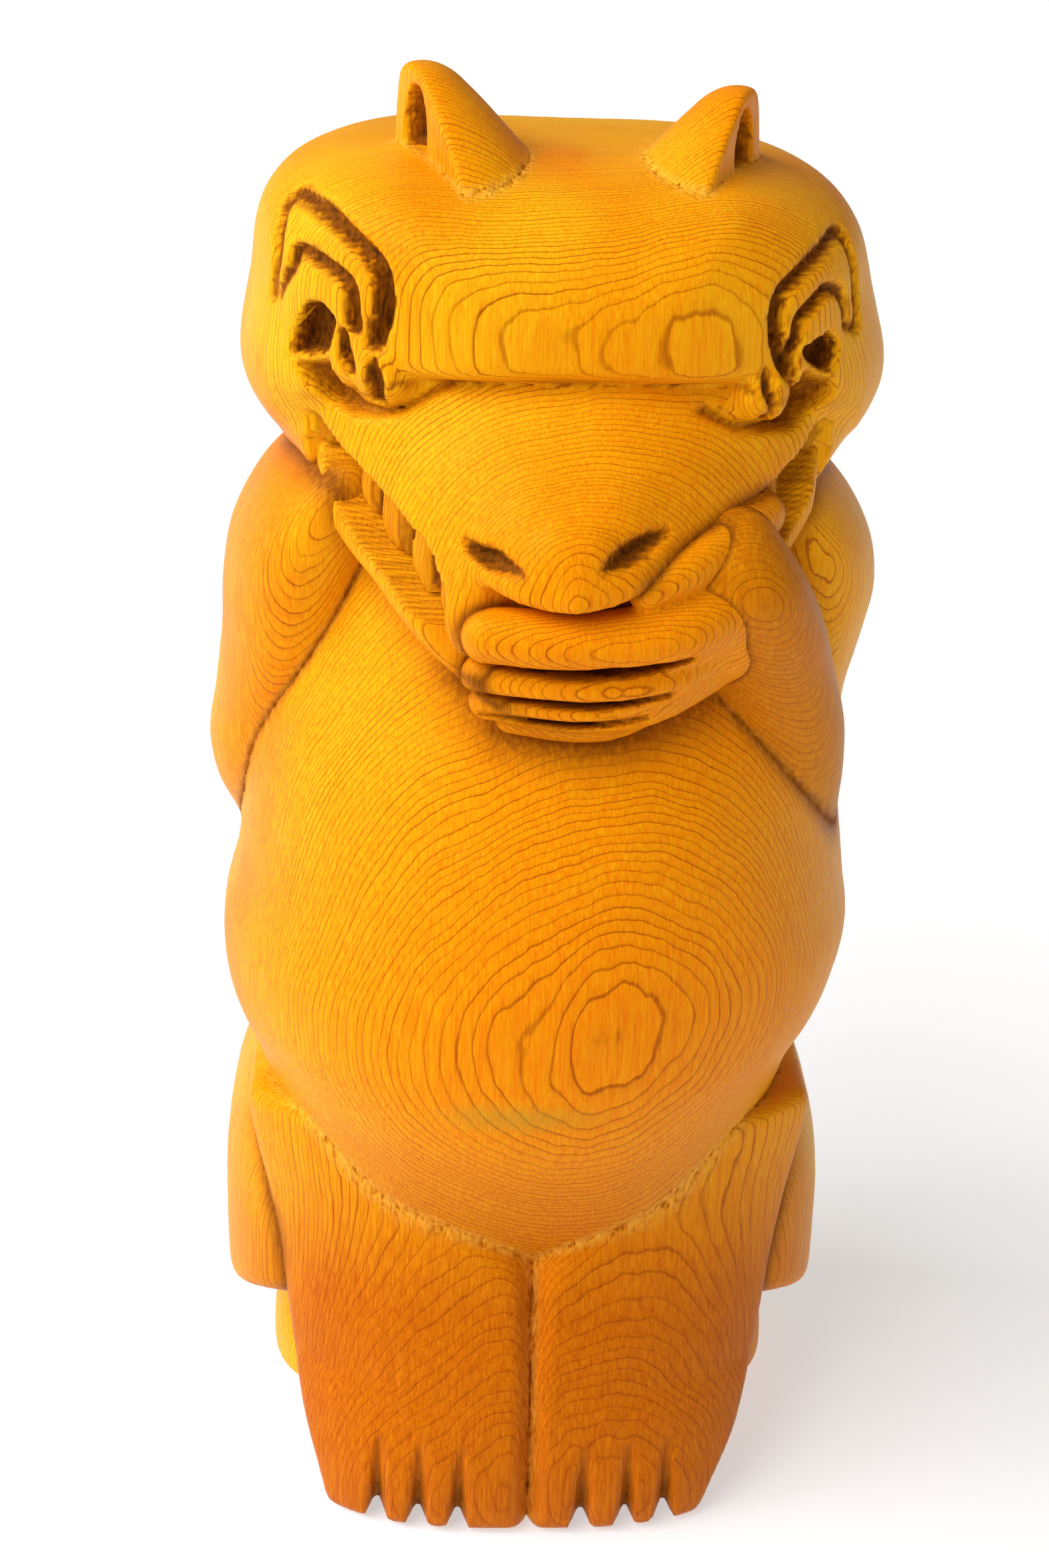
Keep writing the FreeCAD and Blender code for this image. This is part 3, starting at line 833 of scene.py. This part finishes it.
def build(node, low, high, step, form, torn_by=(), painted_shade_by=()):
    """Carve, mesh and place one piece inside the box low to high, sampled every step mm.

    form gives its field, or its field and its mark of stain and painted shade.
    """
    x, y, z = clay(low, high, step)
    made = form(x, y, z)
    shape = np.broadcast_shapes(x.shape, y.shape, z.shape)
    field, stain_and_shade = made if isinstance(made, tuple) else (made, np.zeros(shape, np.float32))
    field = np.maximum(np.broadcast_to(field, shape), np.broadcast_to(-z, shape))
    stain_and_shade = np.broadcast_to(stain_and_shade, shape)
    piece = mesh_field(f"carved_{node}", field, stain_and_shade, low, step, torn_by, painted_shade_by)
    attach(piece, "root")
    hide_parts(node)
    piece.data.materials.append(wood)
    print(f"{node}: {len(piece.data.polygons)} quads")


# ---------------------------------------------------------------- material

def make_wood():
    """Yellow softwood with growth rings that run on from piece to piece."""
    material = bpy.data.materials.new("carved_wood")
    material.use_nodes = True
    tree = material.node_tree
    shader = tree.nodes["Principled BSDF"]
    shader.inputs["Specular IOR Level"].default_value = 0.28
    shader.inputs["Specular Tint"].default_value = (1.0, 0.6, 0.06, 1)

    def add(kind, *sources, out=0, **settings):
        """A node whose inputs are linked or set in order. It gives one of its outputs."""
        new = tree.nodes.new("ShaderNode" + kind)
        for key, value in settings.items():
            setattr(new, key, value)
        for socket, source in zip(new.inputs, sources):
            if isinstance(source, bpy.types.NodeSocket):
                tree.links.new(source, socket)
            elif source is not None:
                socket.default_value = source
        return new.outputs[out]

    def sums(operation, *sources):
        return add("Math", *sources, operation=operation)

    def noise(vector, scale, detail=2.0):
        """Noise from -1 to 1. scale is per mm on each axis."""
        stretched = add("Mapping", vector, None, None, scale)
        value = add("TexNoise", stretched, None, 1.0, detail)
        return sums("MULTIPLY_ADD", value, 2.0, -1.0)

    def ramp(value, *stops):
        """A grey ramp through stops (place, level)."""
        output = add("ValToRGB", value)
        elements = output.node.color_ramp.elements
        for element, (place, level) in zip((elements[0], elements[1]), (stops[0], stops[-1])):
            element.position = place
            element.color = (level, level, level, 1)
        for place, level in stops[1:-1]:
            elements.new(place).color = (level, level, level, 1)
        return output

    def blend(share, a, b, kind="MIX"):
        return add("MixRGB", share, a, b, blend_type=kind)

    place = add("Mapping", add("TexCoord", out=3), None, None, (1000, 1000, 1000))
    # This mark is the old stain in the cuts and painted shade in cuts, creases and near neighbouring
    # pieces.
    stain_and_shade = add("Attribute", attribute_name="stain_and_shade", out=2)
    torn = add("Attribute", attribute_name="torn", out=2)

    # Growth rings: the distance from the pith, made wavy, counted off in years of uneven width
    flat = add("Mapping", place, (-PITH_X, -PITH_Y, 0), None, (1, 1, 0))
    radius = add("VectorMath", flat, operation="LENGTH", out=1)
    for size, tall, shift in ((38, 90, 1.5), (7, 26, 0.38), (1.7, 6, 0.07)):
        wave = noise(place, (1 / size, 1 / size, 1 / tall))
        radius = sums("MULTIPLY_ADD", wave, shift, radius)
    years = add("TexNoise", None, sums("MULTIPLY", radius, 0.16), 1.0, 2.0, noise_dimensions="1D")
    count = sums("DIVIDE", sums("MULTIPLY_ADD", years, 2.0, radius), RING_SPACING)
    year = sums("FLOOR", count)
    within = sums("SUBTRACT", count, year)
    late = ramp(within, (0.0, 0.0), (0.5, 0.04), (0.8, 0.16), (0.9, 1.0), (0.95, 0.9), (1.0, 0.0))
    strength = add("TexWhiteNoise", None, year, noise_dimensions="1D")
    patchy = noise(place, (1 / 15, 1 / 15, 1 / 30))
    strength = sums("MULTIPLY_ADD", strength, 0.42, sums("MULTIPLY_ADD", patchy, 0.2, 0.46))
    line = sums("MULTIPLY", late, strength)

    # Fine upright fibres
    fibre = noise(place, (2.6, 2.6, 0.10), 3.0)
    speck = noise(place, (6.0, 6.0, 0.5), 2.0)

    # Ground colour: deeper far from the pith, paler high up as painted light on the head, patchy, and
    # darkest on the shins
    height_z = add("SeparateXYZ", place, out=2)
    depth_y = add("SeparateXYZ", place, out=1)
    deep = add("MapRange", radius, 122.0, 150.0, 0.0, 1.0)
    ground = blend(deep, PALE, DEEP)
    # Painted light: the head and brow paler high up, where the light falls.
    painted_light_high_up = add("MapRange", height_z, 130.0, 185.0, 0.0, 0.55)
    ground = blend(painted_light_high_up, ground, PALE)
    drift = noise(place, (1 / 26, 1 / 26, 1 / 36))
    warm_share = add("Math", drift, 1.7, 0.36, operation="MULTIPLY_ADD", use_clamp=True)
    ground = blend(warm_share, ground, WARM)
    low_down = add("MapRange", height_z, 66.0, 34.0, 0.0, 1.0)
    ahead = add("MapRange", depth_y, -8.0, -28.0, 0.0, 1.0)
    ground = blend(sums("MULTIPLY", low_down, ahead), ground, FEET)
    colour = blend(line, ground, LATEWOOD)
    grey = sums("MULTIPLY_ADD", fibre, 0.38, sums("MULTIPLY_ADD", speck, 0.32, 0.46))
    colour = blend(0.9, colour, add("CombineColor", grey, grey, grey), "SOFT_LIGHT")

    # A greenish smear across the belly
    stain = add("Mapping", place, (3 / 13, 0, -71 / 2.6), None, (1 / 13, 0, 1 / 2.6))
    far = add("VectorMath", stain, operation="LENGTH", out=1)
    smear = add("MapRange", sums("MULTIPLY_ADD", patchy, 0.4, far), 1.1, 0.2, 0.0, 0.35)
    front = add("MapRange", depth_y, -20.0, -34.0, 0.0, 1.0)
    colour = blend(sums("MULTIPLY", smear, front), colour, STAIN)

    # Pale torn fibres in the creases, with dark gaps between them; old stain in the cuts, and painted
    # shade in the cuts, in creases and near neighbouring pieces
    ragged = noise(place, (1.6, 1.6, 0.7), 3.0)
    pale_share = sums("MULTIPLY", torn, add("MapRange", ragged, -0.35, 0.35, 0.0, 0.7))
    colour = blend(pale_share, colour, TORN)
    gaps = sums("MULTIPLY", torn, add("MapRange", ragged, -0.12, -0.45, 0.0, 0.75))
    dark = sums("MULTIPLY", stain_and_shade, add("MapRange", ragged, -0.6, 0.5, 1.1, 0.6))
    dark = add("Math", dark, gaps, operation="MAXIMUM", use_clamp=True)
    browned = add("Math", dark, 1.7, operation="MULTIPLY", use_clamp=True)
    colour = blend(browned, colour, BROWN)
    colour = blend(sums("MULTIPLY", dark, dark), colour, DARK_STAIN_AND_SHADE)
    tree.links.new(colour, shader.inputs["Base Color"])

    # Gloss and relief
    uneven = sums("MAXIMUM", torn, stain_and_shade)
    rough = sums("MULTIPLY_ADD", speck, 0.06, sums("MULTIPLY_ADD", line, -0.06, 0.46))
    rough = sums("MAXIMUM", rough, sums("MULTIPLY", uneven, 0.75))
    tree.links.new(rough, shader.inputs["Roughness"])

    height = sums("MULTIPLY_ADD", fibre, 0.35, sums("MULTIPLY", speck, 0.25))
    height = sums("MULTIPLY_ADD", line, 0.5, height)
    height = sums("MULTIPLY_ADD", sums("MULTIPLY", uneven, ragged), 2.2, height)
    bump = tree.nodes.new("ShaderNodeBump")
    bump.inputs["Strength"].default_value = 0.7
    bump.inputs["Distance"].default_value = 0.00012
    tree.links.new(height, bump.inputs["Height"])
    tree.links.new(bump.outputs["Normal"], shader.inputs["Normal"])
    return material


# Wood colours, linear
PALE = (0.95, 0.47, 0.006, 1)
DEEP = (0.88, 0.25, 0.001, 1)
WARM = (0.90, 0.29, 0.001, 1)
FEET = (0.57, 0.135, 0.001, 1)
LATEWOOD = (0.38, 0.065, 0.001, 1)
STAIN = (0.36, 0.30, 0.03, 1)
TORN = (0.92, 0.50, 0.07, 1)
# BROWN and the darkest colour after it carry the old stain in the cuts and painted shade in cuts and
# creases.
BROWN = (0.40, 0.105, 0.002, 1)
DARK_STAIN_AND_SHADE = (0.055, 0.014, 0.003, 1)

wood = make_wood()


# ---------------------------------------------------------------- pieces

def for_side(form, side):
    return lambda x, y, z: form(x, y, z, side)


right_leg, left_leg = for_side(leg_form, R), for_side(leg_form, L)
right_arm, left_arm = for_side(upper_arm_form, R), for_side(upper_arm_form, L)
right_ear, left_ear = for_side(ear_form, R), for_side(ear_form, L)

# Each piece's second list of neighbours paints shade near them: on the chest under the jaw and paw, and
# in the creases between pieces.
build(
    "torso", (-48, -47, -1), (48, 42, 158), 0.9, torso_form,
    torn_by=((right_leg, 1.2), (left_leg, 1.2), (right_arm, 1.1), (left_forearm_form, 1.2)),
    painted_shade_by=((jaw_form, 9), (paw_form, 9), (left_arm, 1.5), (right_arm, 1.5), (left_forearm_form, 3)),
)
build(
    "head", (-44, -47, 128), (48, 35, 194), 0.6, head_piece,
    torn_by=((right_ear, 0.9), (left_ear, 0.9)),
    painted_shade_by=((paw_form, 2.5), (right_arm, 3), (left_arm, 3)),
)
build(
    "lower_jaw", (-44, -47, 118), (48, 10, 164), 0.6, jaw_piece,
    painted_shade_by=((paw_form, 2.5), (torso_form, 3)),
)
for side, name in NAMES.items():
    inner, outer = (0, 50) if side == L else (-50, 0)
    haunch = for_side(haunch_form, side)
    build(
        f"{name}_haunch", (inner, -25, 0), (outer, 42, 70), 0.8, haunch,
        torn_by=((torso_form, 1.2),),
        painted_shade_by=((torso_form, 2.5), (for_side(leg_form, side), 3)),
    )
    build(
        f"{name}_leg", (inner - 2, -47, -1), (outer + 2, 30, 74), 0.65, for_side(leg_piece, side),
        torn_by=((torso_form, 1.4), (for_side(leg_form, -side), 2.4)),
        painted_shade_by=((haunch, 2),),
    )
    build(
        f"{name}_upper_arm", (inner, -26, 88), (outer, 26, 158), 0.8, for_side(upper_arm_form, side),
        torn_by=((torso_form, 1.3),),
        painted_shade_by=((torso_form, 1.5), (head_form, 5)),
    )
    build(
        f"{name}_ear", (inner - 1, -28, 178), (outer + 1, 6, 205), 0.4, for_side(ear_piece, side),
        torn_by=((head_form, 1.0),),
    )
build(
    "left_forearm", (8, -43, 88), (46, -4, 154), 0.55, left_forearm_piece,
    torn_by=((torso_form, 1.2),),
    painted_shade_by=((torso_form, 3), (left_arm, 2), (paw_form, 1.2)),
)
build(
    "right_forearm", (-47, 0, 86), (20, 48, 116), 0.8, right_forearm_form,
    torn_by=((torso_form, 1.0),),
)
build(
    "left_paw", (-18, -48, 118), (34, -16, 156), 0.45, paw_piece,
    painted_shade_by=((head_form, 1.6), (jaw_form, 2.5)),
)


# ---------------------------------------------------------------- room, light and camera

def add_floor():
    """A white floor that glows a little, for a white backdrop and a light shadow."""
    bpy.ops.mesh.primitive_plane_add(size=12, location=(0, 0, -0.0005))
    floor = bpy.context.object
    floor.name = "floor"
    paint = bpy.data.materials.new("floor_white")
    paint.use_nodes = True
    shader = paint.node_tree.nodes["Principled BSDF"]
    shader.inputs["Base Color"].default_value = (0.50, 0.51, 0.54, 1)
    shader.inputs["Roughness"].default_value = 0.9
    shader.inputs["Specular IOR Level"].default_value = 0.0
    shader.inputs["Emission Color"].default_value = (1, 1, 1, 1)
    shader.inputs["Emission Strength"].default_value = 0.52
    floor.data.materials.append(paint)


SUNLIGHT = (1.0, 0.98, 0.95)


def add_sun(name, azimuth, elevation, strength, angle):
    """A soft sun. Azimuth 0 shines from the front, and positive from the viewer's right."""
    light = bpy.data.lights.new(name, "SUN")
    light.energy = strength
    light.angle = math.radians(angle)
    light.color = SUNLIGHT
    sun = bpy.data.objects.new(name, light)
    a, e = math.radians(azimuth), math.radians(elevation)
    towards = Vector((math.sin(a) * math.cos(e), -math.cos(a) * math.cos(e), math.sin(e)))
    sun.rotation_euler = towards.to_track_quat("Z", "Y").to_euler()
    bpy.context.scene.collection.objects.link(sun)


def add_camera():
    """Looks down on the figure from the front, a little from its right."""
    azimuth, elevation, roll = math.radians(-2.5), math.radians(24), math.radians(1.5)
    target, distance = Vector((-1.5, 0, 100)) * MM, 396 * MM
    back = Vector((
        math.sin(azimuth) * math.cos(elevation),
        -math.cos(azimuth) * math.cos(elevation),
        math.sin(elevation),
    ))
    right = Vector((math.cos(azimuth), math.sin(azimuth), 0))
    up = back.cross(right)
    turned_right = right * math.cos(roll) + up * math.sin(roll)
    turned_up = up * math.cos(roll) - right * math.sin(roll)
    data = bpy.data.cameras.new("camera")
    data.sensor_width = 36
    data.lens = 63.9
    data.clip_start = 0.01
    camera = bpy.data.objects.new("camera", data)
    axes = Matrix((turned_right, turned_up, back)).transposed().to_4x4()
    camera.matrix_world = Matrix.Translation(target + back * distance) @ axes
    bpy.context.scene.collection.objects.link(camera)
    bpy.context.scene.camera = camera


def light_world():
    world = bpy.data.worlds.new("studio")
    world.use_nodes = True
    background = world.node_tree.nodes["Background"]
    background.inputs["Color"].default_value = (1.0, 0.94, 0.82, 1)
    background.inputs["Strength"].default_value = 0.24
    bpy.context.scene.world = world


add_floor()
light_world()
add_sun("key", azimuth=-50, elevation=44, strength=2.5, angle=50)
add_sun("side", azimuth=-88, elevation=34, strength=1.7, angle=30)
add_camera()
bpy.context.scene.view_settings.view_transform = "Standard"
